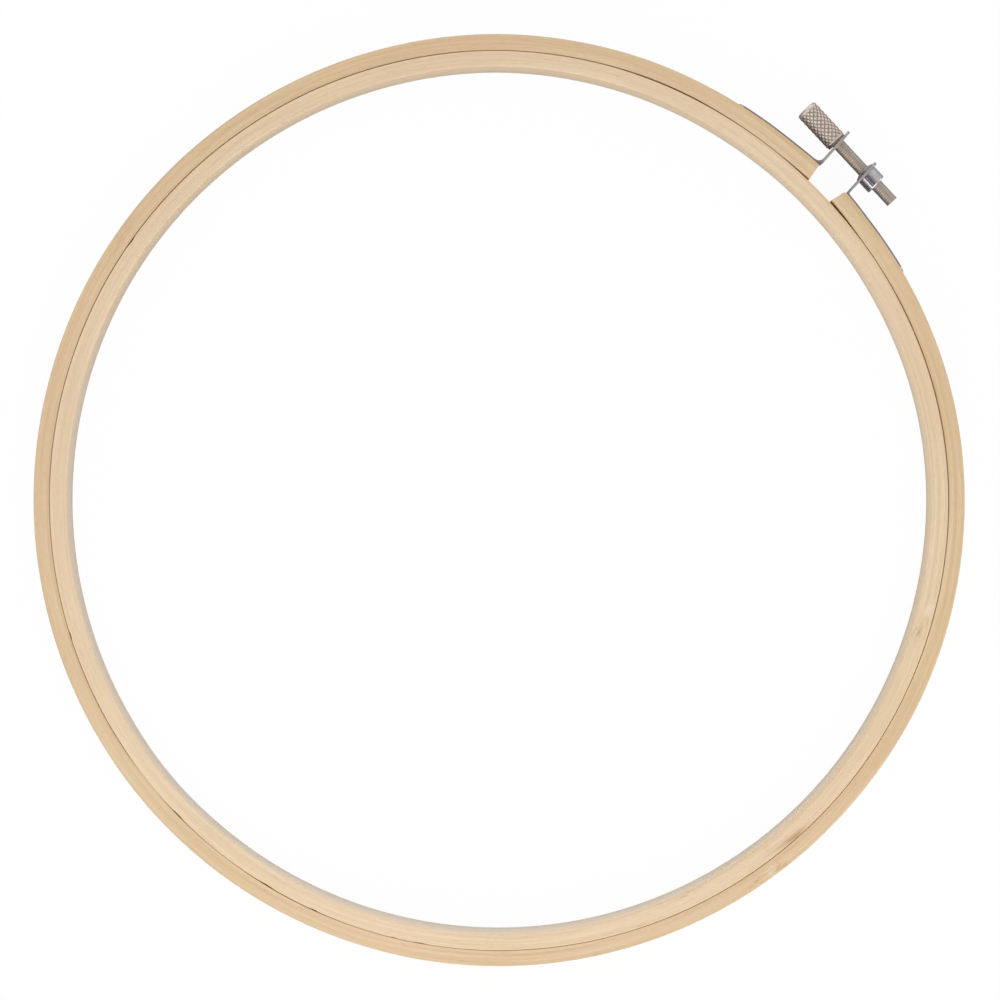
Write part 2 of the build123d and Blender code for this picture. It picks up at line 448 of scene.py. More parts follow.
def spot(signal, angle, across, length, width, slope=0.0, raggedness=0.6):
    """Mask of a ragged spot of the top face that lies along the grain, or crosses it at a slope."""
    strip = signal.stored("strip")
    distance, facing = round_distance(signal, angle)
    ragged = grain(signal, *ragged_edge) - 0.5
    side = strip[0] - across - distance * slope + ragged * (width * raggedness)
    along = distance + ragged * (length * raggedness)
    near_top = strip[1].step(ring_top - mark_depth, ring_top)
    return along.near(length / 2) * side.near(width / 2) * facing * near_top


# %% Sizes of the grain
# Each kind of streak: its width, its length, its seed and, where it isn't 2, its detail
fibre_streaks = (0.24 * MM, 18 * MM, 1.0, 3.0)
fleck_streaks = (0.16 * MM, 1.3 * MM, 5.0, 1.0)
band_streaks = (1.3 * MM, 90 * MM, 7.0)
drift_streaks = (14 * MM, 60 * MM, 13.0)
bundle_streaks = (0.16 * MM, 3.5 * MM, 19.0, 1.0)
inner_mark_streaks = (0.22 * MM, 2.5 * MM, 53.0)
outer_mark_streaks = (0.24 * MM, 2.0 * MM, 59.0)
pores_to_a_metre = 1600
grain_depth = 0.03 * MM

# Angles in degrees of the side where the wall gets painted shade, and of the side where it gets painted
# light
painted_shade_side = 295.0
painted_light_side = 10.0

# How far the brown painted shade of the seam reaches from it, and down the wood
seam_shade_reach = 0.30 * MM
full_shade_reach = 0.05 * MM
seam_wall_shade_reach = 0.04 * MM
seam_shade_depth = (1.7 * MM, 0.3 * MM)
seam_shade_brown = paint(164, 112, 60)
seam_wall_shade_brown = paint(186, 116, 46)
end_grain_cream = paint(236, 216, 182)
print("a fibre is", fibre_streaks[0], "wide and", fibre_streaks[1], "long")


# %% Bamboo finish
def bamboo(name, pale, honey, rosy, low_wall, wall_shade_colour, marks):
    """Sanded bamboo: fibres, bands, cut bundles and marks, a darker low wall, pale ends, brown painted
    shade at the seam, and painted shade and painted light on two sides of the wall.
    """
    material, signal = finish_named(name)
    across, height, end = signal.stored("strip")
    from_seam = signal.stored("around")[2]
    fibres = grain(signal, *fibre_streaks)
    flecks = grain(signal, *fleck_streaks)
    bands = grain(signal, *band_streaks)
    drift = grain(signal, *drift_streaks)
    bundles = grain(signal, *bundle_streaks).step(0.62, 0.74)
    pore_places = signal.vector(across * pores_to_a_metre, height * pores_to_a_metre, 0.5)
    pores = signal.noise(pore_places, 3.0, 1.0).step(0.56, 0.66) * end

    wall = 1 - across.step(0.0, 0.3 * MM)
    lower = 1 - height.step(-ring_top, ring_top)
    painted_wall_shade = round_distance(signal, painted_shade_side, -0.6, 0.7)[1]
    painted_light_and_shade = round_distance(signal, painted_light_side, -1.0, 1.0)[1]
    upper_seam = height.step(ring_top - seam_shade_depth[0], ring_top - seam_shade_depth[1])
    seam_shade = (1 - from_seam.step(full_shade_reach, seam_shade_reach)) * upper_seam
    seam_wall_shade = (1 - from_seam.step(0.0, seam_wall_shade_reach)) * upper_seam

    colour = bands.step(0.34, 0.66).tint(pale, honey)
    colour = (drift.step(0.40, 0.70) * 0.5).tint(colour, rosy)
    stains = [
        *marks(signal),
        (wall * lower**2 * 0.5, low_wall),
        # painted shade: the wall turns greyer on one side of the hoop
        (wall * painted_wall_shade * 0.35, wall_shade_colour),
        # brown painted shade in the seam and on the edges beside it
        (seam_shade * 0.60, seam_shade_brown),
        (seam_wall_shade * 0.80, seam_wall_shade_brown),
        (end * 0.5, end_grain_cream),
    ]
    for mask, stain in stains:
        colour = mask.tint(colour, stain)
    shade = 1 - fibres.step(0.30, 0.72) * 0.10 - bundles * 0.12 - flecks.step(0.35, 0.65) * 0.05
    # The wall's last term is painted light on one side of the hoop and painted shade on the other.
    shade = shade - pores * 0.25 + wall * (painted_light_and_shade - 0.5) * 0.20
    relief = fibres * 0.6 + bands * 0.4 + flecks * 0.3 - bundles * 0.5 - pores * 0.6
    surface(material, signal, relief, grain_depth, {
        "Base Color": colour.scaled(shade),
        "Roughness": 0.50 + fibres * 0.12 + bundles * 0.10,
        "Specular IOR Level": 0.35,
    })
    return material


# %% Marks on the two rings
def inner_marks(signal):
    """A brown smudge at the seam, a joint of the cane with its fibres, flecks, and a darker side."""
    fine = grain(signal, *inner_mark_streaks).step(0.42, 0.60)
    smudge = spot(signal, -4.0, 3.3 * MM, 12.0 * MM, 1.7 * MM, 0.06, 0.8)
    smudge_core = spot(signal, -3.0, 3.85 * MM, 8.0 * MM, 1.1 * MM, 0.02, 0.8)
    smudge_heart = spot(signal, -2.6, 4.10 * MM, 5.0 * MM, 0.6 * MM, 0.0, 0.5)
    cane_joint = spot(signal, 31.6, 2.9 * MM, 3.6 * MM, 2.0 * MM, 0.3)
    fibres_in = spot(signal, 28.8, 2.2 * MM, 6.0 * MM, 2.4 * MM, 0.25)
    flecked = spot(signal, 341.5, 0.9 * MM, 6.0 * MM, 0.9 * MM, -0.05)
    golden = round_distance(signal, 180.0, 0.2, 0.95)[1]
    return [
        (golden * 0.08, paint(190, 158, 120)),
        (smudge * 0.26, paint(184, 148, 104)),
        (smudge_core * 0.32, paint(166, 126, 80)),
        (smudge_heart * 0.45, paint(146, 104, 60)),
        (cane_joint * 0.50, paint(244, 226, 204)),
        (fibres_in * fine * 0.65, paint(186, 152, 112)),
        (flecked * fine * 0.40, paint(196, 166, 126)),
    ]


def outer_marks(signal):
    """A pale patch between yellow-brown streaks, a place where the fibres run askew, and a darker side."""
    fine = grain(signal, *outer_mark_streaks).step(0.42, 0.58)
    patch = spot(signal, -7.7, 3.0 * MM, 2.6 * MM, 3.4 * MM, -0.4)
    streak_before = spot(signal, -10.1, 2.6 * MM, 5.0 * MM, 0.9 * MM, -0.12)
    streak_after = spot(signal, -6.6, 3.3 * MM, 4.2 * MM, 1.6 * MM, 0.10)
    askew = spot(signal, 191.6, 2.4 * MM, 13.0 * MM, 1.8 * MM, -0.10)
    golden = round_distance(signal, 170.0, 0.1, 0.9)[1]
    return [
        (golden * 0.13, paint(196, 156, 108)),
        (patch * 0.42, paint(238, 220, 202)),
        (streak_before * fine * 0.70, paint(190, 148, 88)),
        (streak_after * fine * 0.70, paint(190, 148, 88)),
        (askew * fine * 0.35, paint(188, 152, 108)),
    ]


# Each ring's second wall colour is painted shade on the hoop's far side.
inner_bamboo = bamboo(
    "pale_inner_bamboo", paint(234, 211, 179), paint(226, 199, 162), paint(230, 202, 172),
    paint(188, 182, 170), paint(206, 204, 201), inner_marks,
)
# The outer ring's wall is its bore in the seam: its two wall colours are brown painted shade there.
outer_bamboo = bamboo(
    "golden_outer_bamboo", paint(226, 201, 165), paint(215, 185, 143), paint(223, 192, 158),
    paint(160, 112, 64), paint(204, 140, 76), outer_marks,
)

# %% [markdown]
# ## Out of round
# A bent bamboo hoop is never a true circle. The screw's pull has flattened this one by a millimetre at the
# cut, the left side is a little flat too, and the seam wanders where one ring is thinner. Each such place
# is a smooth swell over some degrees, and one list of them shapes the outer edge, the seam and the edge of
# the opening alike, so that the two rings still fit. The brackets follow the same edge later.

# %% Places where the hoop isn't round
OUTER_EDGE, SEAM, OPENING_EDGE = 0, 1, 2
swells = [
    (96.0, 46.0, (-0.95 * MM, -1.20 * MM, -1.05 * MM)),
    (230.0, 52.0, (-0.30 * MM, -0.15 * MM, -0.30 * MM)),
    (351.0, 90.0, (0.0, 0.30 * MM, 0.0)),
    (90.0, 8.0, (0.40 * MM, 0.0, 0.0)),
    (115.0, 14.0, (0.14 * MM, 0.14 * MM, 0.10 * MM)),
    (24.0, 24.0, (0.18 * MM, 0.0, -0.08 * MM)),
    (72.0, 24.0, (0.0, 0.0, -0.17 * MM)),
    (222.0, 34.0, (0.0, 0.0, -0.10 * MM)),
    (266.0, 12.0, (0.0, 0.0, 0.18 * MM)),
]
seam_gap = 0.15 * MM
seam_openings = [
    (60.0, 50.0, -0.01 * MM), (98.0, 6.0, -0.06 * MM), (113.0, 13.0, 0.07 * MM), (136.0, 12.0, -0.05 * MM),
    (238.0, 26.0, -0.03 * MM), (264.5, 6.5, -0.13 * MM), (277.0, 9.0, -0.06 * MM),
    (303.0, 26.0, -0.06 * MM), (331.0, 12.0, -0.02 * MM),
]
seam_easing = 0.05 * MM
seam_wear = [
    (66.0, 60.0, 0.11 * MM), (78.0, 8.0, -0.04 * MM), (113.0, 9.0, 0.08 * MM), (135.0, 55.0, 0.07 * MM),
    (186.0, 40.0, 0.06 * MM), (288.0, 14.0, 0.06 * MM), (26.0, 22.0, 0.02 * MM),
]
full_wear = 0.10 * MM
end_lift = [(89.0, 8.5, 0.42 * MM), (92.0, 6.0, 0.14 * MM)]
end_wear = [(89.0, 7.0, 0.14 * MM), (92.0, 4.5, 0.08 * MM)]


def out_of_round(angle, edge):
    """How far an edge stands outside its true circle at an angle."""
    return sum(moves[edge] * swell(angle, place, reach) for place, reach, moves in swells)


def hoop_edge(angle):
    """Radius of the outer ring's outside at an angle."""
    return hoop_radius + out_of_round(angle, OUTER_EDGE)


def sum_of_swells(angle, places):
    """Height of a row of swells at an angle."""
    return sum(most * swell(angle, place, reach) for place, reach, most in places)


def seam_width(angle):
    """Gap between the two rings at an angle."""
    return seam_gap + sum_of_swells(angle, seam_openings)


def worn_easing(angle):
    """How far the edges beside the seam are rounded: less where the rings touch."""
    return (seam_easing + sum_of_swells(angle, seam_wear)) * min(1.0, seam_width(angle) / seam_gap)


def seam_shade_distance(angle, distance):
    """Distance from the seam for the finish, whose brown painted shade covers the more rounded edges:
    larger where they are rounded less.
    """
    unrounded_share = max(0.0, 1 - sum_of_swells(angle, seam_wear) / full_wear)
    return distance + unrounded_share * seam_shade_reach


def seam_edges(angle):
    """Radius of the inner ring's outside and of the outer ring's bore at an angle."""
    middle = (inner_ring_radius + outer_ring_bore) / 2 + out_of_round(angle, SEAM)
    half = seam_width(angle) / 2
    nut_lift, head_lift = end_lift
    lift = sum_of_swells(angle, [nut_lift if angle % 360 < 90 else head_lift])
    return middle - half, middle + half + lift


print("hoop at the cut", round(hoop_edge(90) / hoop_radius, 4), "of its radius")

# %% [markdown]
# ## Inner ring
# The closed ring is a section carried round the hoop, with a section at every station. Small chips along
# its outer edge show as dark slivers in the seam. Each section can have its own radius, which a torus or a
# bevelled curve would not allow.

# %% Inner ring
stations = 960
opening_easing = 0.7 * MM
chips = [(190.8, 1.1), (243.5, 0.8), (270.4, 1.4), (284.8, 1.5), (291.7, 0.9), (302.4, 0.6), (305.9, 1.2)]
chip_depth = 0.16 * MM


def placed(radius, height, angle):
    """A point of the hoop from its radius, its height and its angle in degrees."""
    turn = math.radians(angle)
    return (radius * math.cos(turn), radius * math.sin(turn), height)


def inner_ring_edges(angle):
    """Inside and outside radius of the inner ring at an angle."""
    chipped = chip_depth * sum(swell(angle, place, reach) for place, reach in chips)
    return work_opening_radius + out_of_round(angle, OPENING_EDGE), seam_edges(angle)[0] - chipped


def round_place(angle, from_seam):
    """What the grain needs of a point: its place round the hoop and its distance from the seam."""
    cosine, sine, _ = placed(1, 0, angle)
    return (cosine, sine, from_seam)


rings = []
around = []
strip = []
for station in range(stations):
    angle = 360 * station / stations
    inside, outside = inner_ring_edges(angle)
    easings = [worn_easing(angle), opening_easing, edge_easing, edge_easing]
    section = eased_section(inside, outside, -ring_top, ring_top, easings)
    rings.append([placed(radius, height, angle) for radius, height in section])
    around += [round_place(angle, seam_shade_distance(angle, outside - radius)) for radius, _ in section]
    strip += [(radius - inside, height, 0.0) for radius, height in section]
inner_ring = skin("bamboo_inner_ring", rings, inner_bamboo, closed=True)
keep(inner_ring, "around", around)
keep(inner_ring, "strip", strip)
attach(inner_ring, "inner_ring")
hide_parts("inner_ring")
print("inner ring", len(inner_ring.data.vertices), "points")

# %% [markdown]
# ## Outer ring
# On the real hoop this is one bent strip, cut only at the hardware. The ends slant away from each other and
# one has a rounded corner. Near them each point slides round the circle by what its radius asks for, which
# slants the cut.

# %% Ends of the outer ring
head_end_reach = (4.1 * MM, 5.0 * MM)
nut_end_reach = (4.5 * MM, 5.4 * MM)
nut_end_rounding = 1.5 * MM
end_easing = 0.2 * MM
end_fade = 12 * MM
station_gap = 0.8 * MM


def end_reach(radius, reach, rounding):
    """How far a wooden end stands from the middle of the cut at a radius."""
    inside, outside = reach
    share = (radius - outer_ring_bore) / outer_ring_wall
    corner = max(0.0, radius - (hoop_radius - rounding))
    hollow = rounding - math.sqrt(max(0.0, rounding**2 - corner**2))
    return inside + (outside - inside) * share + hollow


def head_end_angle(radius):
    """Angle of the head's wooden end at a radius."""
    return 90 + math.degrees(math.asin(end_reach(radius, head_end_reach, 0.0) / radius))


def nut_end_angle(radius):
    """Angle of the nut's wooden end at a radius, counted on from the head's."""
    return 450 - math.degrees(math.asin(end_reach(radius, nut_end_reach, nut_end_rounding) / radius))


# %% Outer ring
outer_easing = 0.5 * MM


def outer_ring_edges(angle):
    """Inside and outside radius of the outer ring at an angle."""
    return seam_edges(angle)[1], hoop_edge(angle)


def end_depths():
    """Distances from a wooden end, and how far the section draws in there to ease the end's edges."""
    turns = [math.pi / 2 * step / easing_steps for step in range(easing_steps + 1)]
    eased = [(end_easing * (1 - math.cos(turn)), end_easing * (1 - math.sin(turn))) for turn in turns]
    return [*eased, (end_easing + guard, 0.0)]


first_angle = head_end_angle(middle_radius)
last_angle = nut_end_angle(middle_radius)
strip_length = math.radians(last_angle - first_angle) * middle_radius
between = int(strip_length / station_gap)
ends = end_depths()
places = [*ends]
places += [(strip_length * step / between, 0.0) for step in range(1, between)]
places += [(strip_length - depth, inset) for depth, inset in reversed(ends)]

rings = []
around = []
strip = []
for distance, inset in places:
    base = first_angle + math.degrees(distance / middle_radius)
    inside, outside = outer_ring_edges(base)
    head_fade = max(0.0, 1 - distance / end_fade) ** 2
    nut_fade = max(0.0, 1 - (strip_length - distance) / end_fade) ** 2
    torn = sum_of_swells(base, end_wear)
    easings = [outer_easing, worn_easing(base) + torn, edge_easing, edge_easing]
    section = eased_section(inside + inset, outside - inset, inset - ring_top, ring_top - inset, easings)
    ring = []
    for radius, height in section:
        angle = base + head_fade * (head_end_angle(radius) - first_angle)
        angle += nut_fade * (nut_end_angle(radius) - last_angle)
        ring.append(placed(radius, height, angle))
        around.append(round_place(angle, seam_shade_distance(base, radius - inside - torn)))
        strip.append((radius - inside, height, inset / end_easing))
    rings.append(ring)
outer_ring = skin("bamboo_outer_ring", rings, outer_bamboo)
keep(outer_ring, "around", around)
keep(outer_ring, "strip", strip)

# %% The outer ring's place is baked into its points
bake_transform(outer_ring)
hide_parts("outer_ring_head_half", "outer_ring_nut_half")
print("outer ring", len(outer_ring.data.vertices), "points, strip", round(strip_length, 4), "long")

# %% [markdown]
# ## Metal
# The screw is nickel plated and warm, with grime in its grooves and painted shade on its collar between the
# head and its ear. The brackets are zinc plated sheet, cool and slightly mottled, duller on their sheared
# edges, which carry painted shade where they lie against the wood. The nut was turned on a lathe and is the
# smoothest, and the tacks are dull. Each is a metal shader whose colour and roughness vary with wear; apart
# from that painted shade, the stripes of light and dark come from the room, not from paint.

# %% Finishes of the metal pieces
sheet_half_width = 4.0 * MM


def metal_noise(signal, bumps, depth, detail):
    """Noise that is fixed to the hoop's own frame, with so many bumps to a metre."""
    return signal.noise(signal.node("TexCoord", output="Object").scaled(bumps), depth, detail)


# %% Nickel of the screw
screw_nickel, signal = finish_named("nickel_with_grime_and_shade")
depth = signal.stored("grime_and_shade")[0]
blotches = metal_noise(signal, 900, 1.0, 3.0)
specks = metal_noise(signal, 4200, 4.0, 2.0)
warm = blotches.step(0.35, 0.70).tint(paint(222, 211, 201), paint(218, 202, 190))
# Grime in the knurl's and the thread's grooves and on the whole shank, and painted shade over the whole
# collar.
grime_and_collar_shade = (depth.step(0.20, 0.90) * 0.72).tint(warm, paint(112, 98, 83))
surface(screw_nickel, signal, specks * 0.5 + blotches * 0.5, 0.010 * MM, {
    "Base Color": grime_and_collar_shade,
    "Metallic": 1 - depth.step(0.6, 1.0) * 0.15,
    "Roughness": 0.38 + specks * 0.12 + depth * 0.15,
})


# %% Zinc of the brackets
bracket_zinc, signal = finish_named("zinc_plated_sheet")
x, y, z = signal.node("TexCoord", output="Object").parts()
from_axis = signal.node("VectorMath", {"operation": "LENGTH"}, {0: signal.vector(x, y, 0.0)}, "Value")
sheared = abs(z).step(sheet_half_width - 0.15 * MM, sheet_half_width - 0.05 * MM)
on_ear = from_axis.step(hoop_radius + 0.3 * MM, hoop_radius + 2.5 * MM)
spangle = metal_noise(signal, 700, 2.0, 2.0)
scratches = metal_noise(signal, 4000, 5.0, 2.0)
cool = spangle.step(0.35, 0.65).tint(paint(190, 191, 194), paint(168, 169, 172))
dull = (scratches.step(0.62, 0.75) * 0.5).tint(cool, paint(140, 138, 134))
# Painted shade: the sheared edges are darker on the plates and on the ears' foot, where they lie against
# the wood.
shaded_plate_edges = (sheared * (1 - on_ear) * 0.7).tint(dull, paint(140, 131, 122))
edged = (sheared * on_ear * 0.8).tint(shaded_plate_edges, paint(166, 157, 150))
surface(bracket_zinc, signal, spangle * 0.4 + scratches * 0.6, 0.010 * MM, {
    "Base Color": edged,
    "Metallic": 0.97 - sheared * on_ear * 0.45,
    "Roughness": 0.20 + scratches * 0.16 + sheared * 0.26,
})


# %% Turned steel of the nut
nut_steel, signal = finish_named("turned_steel")
place_and_line = {0: signal.node("TexCoord", output="Object"), 1: screw_line[:]}
along_screw = signal.node("VectorMath", {"operation": "DOT_PRODUCT"}, place_and_line, "Value")
tool_marks = signal.noise(signal.vector(along_screw * 11000, 0.0, 0.0), 0.0, 1.0)
haze = metal_noise(signal, 800, 6.0, 2.0)
bright = haze.step(0.35, 0.70).tint(paint(208, 204, 210), paint(194, 190, 197))
surface(nut_steel, signal, tool_marks, 0.0015 * MM, {
    "Base Color": bright,
    "Metallic": 1.0,
    "Roughness": 0.07 + tool_marks * 0.06 + haze * 0.05,
})


# %% Dull steel of the tacks
tack_steel, signal = finish_named("dull_tack_steel")
spots = metal_noise(signal, 2600, 8.0, 2.0)
grey = spots.step(0.45, 0.65).tint(paint(182, 180, 176), paint(140, 134, 124))
surface(tack_steel, signal, spots, 0.012 * MM, {
    "Base Color": grey,
    "Metallic": 0.95,
    "Roughness": 0.36 + spots * 0.2,
})

# %% [markdown]
# ## Turned pieces
# A lathe makes rings about a line, and so does this: each ring has a place along the line and a radius, and
# the radius may change round the ring, which is all that a thread or a knurl is. The knurl's crossing
# grooves are two slanted waves, and the surface is the lower of the two. The head's outline shows the
# teeth, which no texture could do, so they are cut into the mesh.

# %% Rings about a line
def turned_ring(middle, line, sideways, along, radii, shear=0.0):
    """A ring of points about a line, one for each radius. Shear slants the ring along the line."""
    other = line.cross(sideways)
    ring = []
    for column, reach in enumerate(radii):
        turn = 2 * math.pi * column / len(radii)
        point = middle + line * (along + shear * reach * math.cos(turn))
        point += (sideways * math.cos(turn) + other * math.sin(turn)) * reach
        ring.append(point[:])
    return ring


def wave(turns):
    """A wave with straight flanks: 0 at whole turns and 1 half way between them."""
    return 1 - abs(2 * (turns % 1.0) - 1)


def sharpen(piece, degrees):
    """Keeps every edge sharp that turns by more than an angle."""
    piece.data.set_sharp_from_angle(angle=math.radians(degrees))


# %% Screw head, knurled
screw_head_radius = 3.05 * MM
screw_head_length = 12.25 * MM
head_rounding = 0.8 * MM
head_chamfer = 0.35 * MM
collar_radius = 2.85 * MM
collar_length = 0.40 * MM
neck_end = -5.85 * MM
head_face = neck_end - collar_length
head_start = head_face - screw_head_length
knurl_teeth = 13
knurl_pitch = 1.48 * MM
knurl_depth = 0.17 * MM
knurl_row = 0.1 * MM
knurl_fade = 0.7 * MM
smooth_share = 0.6
tip_flatness = 1.25
head_steps = 8
screw_columns = knurl_teeth * 12


def knurl_height(turn, along):
    """1 on the tip of a knurl's pyramid and 0 in its grooves."""
    teeth = knurl_teeth * turn / (2 * math.pi)
    slide = along / knurl_pitch
    return min(1.0, tip_flatness * min(wave(teeth + slide), wave(teeth - slide)))


def knurl_strength(along):
    """The knurl runs out before the rounded end and before the chamfer."""
    from_start = (along - head_start - head_rounding * smooth_share) / knurl_fade
    from_face = (head_face - head_chamfer * smooth_share - along) / knurl_fade
    return max(0.0, min(1.0, from_start, from_face))


def head_outline(along):
    """Radius over the knurl's tips at a place along the head."""
    corner = min(head_rounding, max(0.0, head_start + head_rounding - along))
    rounded = screw_head_radius - head_rounding + math.sqrt(head_rounding**2 - corner**2)
    chamfered = screw_head_radius - max(0.0, along - (head_face - head_chamfer))
    return min(rounded, chamfered)


def screw_ring(along, radii, shear=0.0):
    """A ring of points about the screw's line."""
    return turned_ring(screw_middle, screw_line, screw_outward, along, radii, shear)


turns = [2 * math.pi * column / screw_columns for column in range(screw_columns)]
bend = [math.pi / 2 * step / head_steps for step in range(head_steps)]
head_rows = [head_start + head_rounding * (1 - math.cos(turn)) for turn in bend]
row_count = int((screw_head_length - head_rounding) / knurl_row)
head_rows += [head_start + head_rounding + knurl_row * row for row in range(row_count + 1)]
head_rows = [along for along in head_rows if along < head_face - guard] + [head_face]

rings = []
grime_and_shade = []
for along in head_rows:
    cuts = [(1 - knurl_height(turn, along)) * knurl_strength(along) for turn in turns]
    radii = [head_outline(along) - knurl_depth * cut for cut in cuts]
    rings.append(screw_ring(along, radii))
    grime_and_shade += [(cut, 0.0, 0.0) for cut in cuts]
# The collar gets the darkest value, which is painted shade between the head and its ear.
for along in (head_face, neck_end):
    rings.append(screw_ring(along, [collar_radius] * screw_columns))
    grime_and_shade += [(1.0, 0.0, 0.0)] * screw_columns
print("head rings", len(rings))

# %% Screw shank, threaded
shank_radius = 1.7 * MM
shank_reach = 16.3 * MM
tip_chamfer = 0.12 * MM
tip_flare = 0.07 * MM
flare_length = 0.5 * MM
thread_pitch = 0.6 * MM
thread_depth = 0.05 * MM
thread_rows = 8
thread_fade = 0.5 * MM
shank_grime = 0.60
thread_grime = 0.14


def thread_cut(turn, along):
    """How deep the right-hand thread is at a point of the shank: 0 on its crest, 1 at its root."""
    height = wave(along / thread_pitch - turn / (2 * math.pi))
    fade = max(0.0, min(1.0, (along - neck_end) / thread_fade))
    return (1 - min(1.0, tip_flatness * height)) * fade


row_count = int((shank_reach - neck_end) / thread_pitch * thread_rows)
for row in range(row_count + 1):
    along = neck_end + (shank_reach - neck_end) * row / row_count
    flare = tip_flare * max(0.0, 1 - (shank_reach - along) / flare_length) ** 2
    crest = shank_radius + flare - max(0.0, along - (shank_reach - tip_chamfer))
    cuts = [thread_cut(turn, along) for turn in turns]
    radii = [crest - thread_depth * cut for cut in cuts]
    rings.append(screw_ring(along, radii))
    grime_and_shade += [(shank_grime + cut * thread_grime, 0.0, 0.0) for cut in cuts]
thumb_screw = skin("knurled_thumb_screw", rings, screw_nickel)
sharpen(thumb_screw, 50)
keep(thumb_screw, "grime_and_shade", grime_and_shade)
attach(thumb_screw, "screw")
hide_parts("adjusting_screw")
print("screw", len(thumb_screw.data.vertices), "points")

# %% Riveted nut
nut_radius = 3.0 * MM
nut_bore = 1.8 * MM
nut_spigot = 2.4 * MM
rivet_tip = 2.2 * MM
rivet_start = 4.70 * MM
nut_end = 9.90 * MM
nut_edge = 0.2 * MM
nut_end_edge = 0.32 * MM
nut_columns = 96
nut_ear_distance = 5.68 * MM
nut_ear_lean = 3.2
ear_sheet = 0.75 * MM
seat = 0.02 * MM

slant = math.degrees(math.atan2(-screw_line.y, screw_line.x))
nut_tilt = math.radians(nut_ear_lean + slant)
groove_half = (ear_sheet / 2 + seat) / math.cos(nut_tilt)
ear_start = nut_ear_distance - groove_half
ear_end = nut_ear_distance + groove_half
half_edge = nut_edge / 2
round_middle = nut_end_edge * 0.3
swaged_cone = [
    (rivet_start, nut_bore), (rivet_start, rivet_tip - half_edge),
    (rivet_start + half_edge, rivet_tip), (rivet_start + half_edge + guard, rivet_tip + guard),
    (ear_start - nut_edge - guard, nut_radius - half_edge - guard),
    (ear_start - nut_edge, nut_radius - half_edge), (ear_start - half_edge, nut_radius),
    (ear_start, nut_radius - half_edge),
]
ear_groove = [(ear_start, nut_spigot), (ear_end, nut_spigot)]
barrel = [
    (ear_end, nut_radius - half_edge), (ear_end + half_edge, nut_radius),
    (ear_end + half_edge + guard, nut_radius), (nut_end - nut_end_edge - guard, nut_radius),
    (nut_end - nut_end_edge, nut_radius), (nut_end - round_middle, nut_radius - round_middle),
    (nut_end, nut_radius - nut_end_edge), (nut_end, nut_bore),
]
rings = [
    screw_ring(along, [radius] * nut_columns, shear=-math.tan(nut_tilt))
    for along, radius in swaged_cone + ear_groove + barrel
]
nut = skin("riveted_round_nut", rings, nut_steel, closed=True)
sharpen(nut, 35)
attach(nut, "nut_half")
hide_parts("captive_nut")
print("nut", len(nut.data.vertices), "points, leaning", round(math.degrees(nut_tilt), 2), "degrees")

# %% [markdown]
# ## Brackets
# Each bracket is a strip cut with rounded corners and bent once: a plate that hugs the wood and an ear
# beside the cut. A section of sheet is carried down the ear, round the bend and along the plate, and it
# narrows at both ends to make the corners. Its thickness changes a little from ear to plate, as in the
# photograph. A cutter of turned rings then punches the holes.

# %% Path of a bent strip
corner_radius = 2.0 * MM
sheet_easing = 0.09 * MM
plate_gap = 0.05 * MM
plate_reach = 32.6 * MM
tack_hole = 0.52 * MM
screw_hole = 2.0 * MM
nut_hole = nut_spigot + seat
plate_sheet = 0.5 * MM
bend_steps = 10
plate_steps = 24


def outward_at(turn):
    """Direction from the hoop's centre at an angle in radians from the cut."""
    return Vector((math.sin(turn), math.cos(turn), 0))


def plate_line(turn):
    """Radius of the middle of a plate's sheet, at an angle in radians from the cut, towards the nut."""
    return hoop_edge(90 - math.degrees(turn)) + plate_gap + plate_sheet / 2


def plate_turn(side, reach):
    """Angle from the cut to a place on a plate's outer face, from its distance along a true circle."""
    return side * reach / (hoop_radius + plate_gap + plate_sheet)


def onto_circle(point, direction, radius):
    """Last point where a line meets a circle about the hoop's centre."""
    along = point.dot(direction)
    return point + direction * (math.sqrt(along**2 - point.dot(point) + radius**2) - along)


def ear_directions(side, lean):
    """Directions across an ear, away from the cut, and up it."""
    turn = math.radians(lean)
    across = Vector((math.cos(turn), math.sin(turn), 0)) * side
    return across, Vector((-math.sin(turn), math.cos(turn), 0))


def corner_half_width(from_end):
    """Half the width of a strip near its rounded end."""
    short = max(0.0, corner_radius - from_end)
    return sheet_half_width - corner_radius + math.sqrt(corner_radius**2 - short**2)


